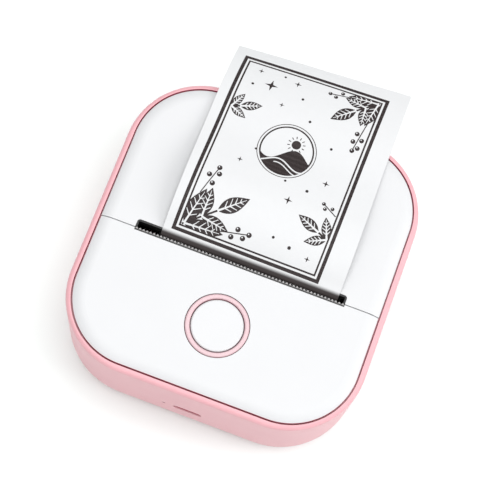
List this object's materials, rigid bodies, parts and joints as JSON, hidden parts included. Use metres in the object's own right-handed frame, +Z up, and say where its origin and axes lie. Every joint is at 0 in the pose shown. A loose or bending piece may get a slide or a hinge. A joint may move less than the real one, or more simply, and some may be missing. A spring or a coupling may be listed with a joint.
{
  "type": "portable photo printer",
  "caption": "Pocket thermal printer with a hinged rear cover over a paper roll, a toothed slot, a geared platen, a push button and a printed strip coming out.",
  "frame": {"origin": "centre of the casing's outline, on the surface that the rubber foot ring stands on", "axes": "+Z up out of the white top; -Y to the front, with the button and the charging socket; +X to the right seen from the front"},
  "size_m": [0.087, 0.1061, 0.0419],
  "materials": {
    "casing_pink": "satin moulded plastic",
    "top_white": "satin moulded plastic",
    "ring_pink": "semi-gloss plastic",
    "button_white": "satin moulded plastic",
    "black_plastic": "moulded plastic",
    "grey_plastic": "moulded plastic",
    "white_plastic": "acetal",
    "foot_rubber": "matt rubber",
    "platen_rubber": "ground rubber",
    "screw_steel": "blackened steel",
    "shaft_steel": "ground steel",
    "spring_steel": "sprung strip",
    "motor_case": "zinc plated",
    "heat_sink": "bare",
    "head_ceramic": "glazed",
    "board_green": "solder mask",
    "chip_black": "moulded",
    "socket_steel": "bright",
    "cell_foil": "foil",
    "lens_clear": "clear",
    "flex_amber": "film",
    "paper_white": "thermal paper",
    "core_grey": "core board"
  },
  "bodies": {
    "casing": {"base_shell": "casing_pink", "foot_ring": "foot_rubber", "case_screws": "screw_steel", "front_panel": "top_white", "hinge_pin": "shaft_steel", "tear_bar": "black_plastic", "button_ring": "ring_pink", "main_board": "board_green", "board_parts": "chip_black", "usb_socket": "socket_steel", "tact_switch": "chip_black", "status_light": "lens_clear", "battery_pack": "cell_foil", "mechanism_frame": "black_plastic", "gear_plate": "motor_case", "head_board": "head_ceramic", "heat_sink": "heat_sink", "head_spring": "spring_steel", "head_cable": "flex_amber", "stepper_motor": "motor_case", "gear_clips": "spring_steel", "paper_sensor": "chip_black", "roll_cradle": "grey_plastic", "paper_leg": "paper_white"},
    "cover": {"rear_cover": "top_white", "cover_frame": "black_plastic", "cover_screws": "screw_steel", "platen_bushes": "black_plastic"},
    "platen": {"platen_shaft": "shaft_steel", "platen_rubber": "platen_rubber", "platen_gear": "white_plastic"},
    "strip": {"print_strip": "paper_white"},
    "idler": {"idler_gear": "white_plastic"},
    "compound": {"compound_gear": "white_plastic"},
    "rotor": {"motor_pinion": "white_plastic"},
    "roll": {"paper_roll": "paper_white", "roll_core": "core_grey"},
    "button": {"button_cap": "button_white"}
  },
  "joints": [
    {"name": "cover_hinge", "type": "hinge", "parent": "casing", "child": "cover", "pos_m": [0, 0.0425, 0.036], "axis": [-1, 0, 0], "range_deg": [0, 95]},
    {"name": "strip_bend", "type": "hinge", "parent": "cover", "child": "strip", "pos_m": [0, -0.004, 0.0364], "axis": [-1, 0, 0], "range_deg": [-66.5, 0]},
    {"name": "platen_spin", "type": "hinge", "parent": "cover", "child": "platen", "pos_m": [0, 0.0005, 0.0305], "axis": [1, 0, 0], "continuous": true},
    {"name": "idler_spin", "type": "hinge", "parent": "casing", "child": "idler", "pos_m": [-0.0356, 0.0005, 0.0205], "axis": [1, 0, 0], "continuous": true},
    {"name": "compound_spin", "type": "hinge", "parent": "casing", "child": "compound", "pos_m": [-0.0367, -0.00886, 0.02212], "axis": [1, 0, 0], "continuous": true},
    {"name": "motor_spin", "type": "hinge", "parent": "casing", "child": "rotor", "pos_m": [-0.033, -0.01336, 0.011], "axis": [1, 0, 0], "continuous": true},
    {"name": "roll_spin", "type": "hinge", "parent": "casing", "child": "roll", "pos_m": [0.00248, 0.019, 0.0178], "axis": [1, 0, 0], "continuous": true},
    {"name": "button_press", "type": "slide", "parent": "casing", "child": "button", "axis": [0, 0, -1], "range_m": [0, 0.0004], "stiffness_N_per_m": 500, "springref_m": -0.0002}
  ],
  "couplings": [
    {"joint": "strip_bend", "follows": "cover_hinge", "ratio": -0.7},
    {"joint": "idler_spin", "follows": "platen_spin", "ratio": -0.66667},
    {"joint": "compound_spin", "follows": "platen_spin", "ratio": 1.1429},
    {"joint": "motor_spin", "follows": "platen_spin", "ratio": -3.4286},
    {"joint": "roll_spin", "follows": "platen_spin", "ratio": 0.30769}
  ]
}
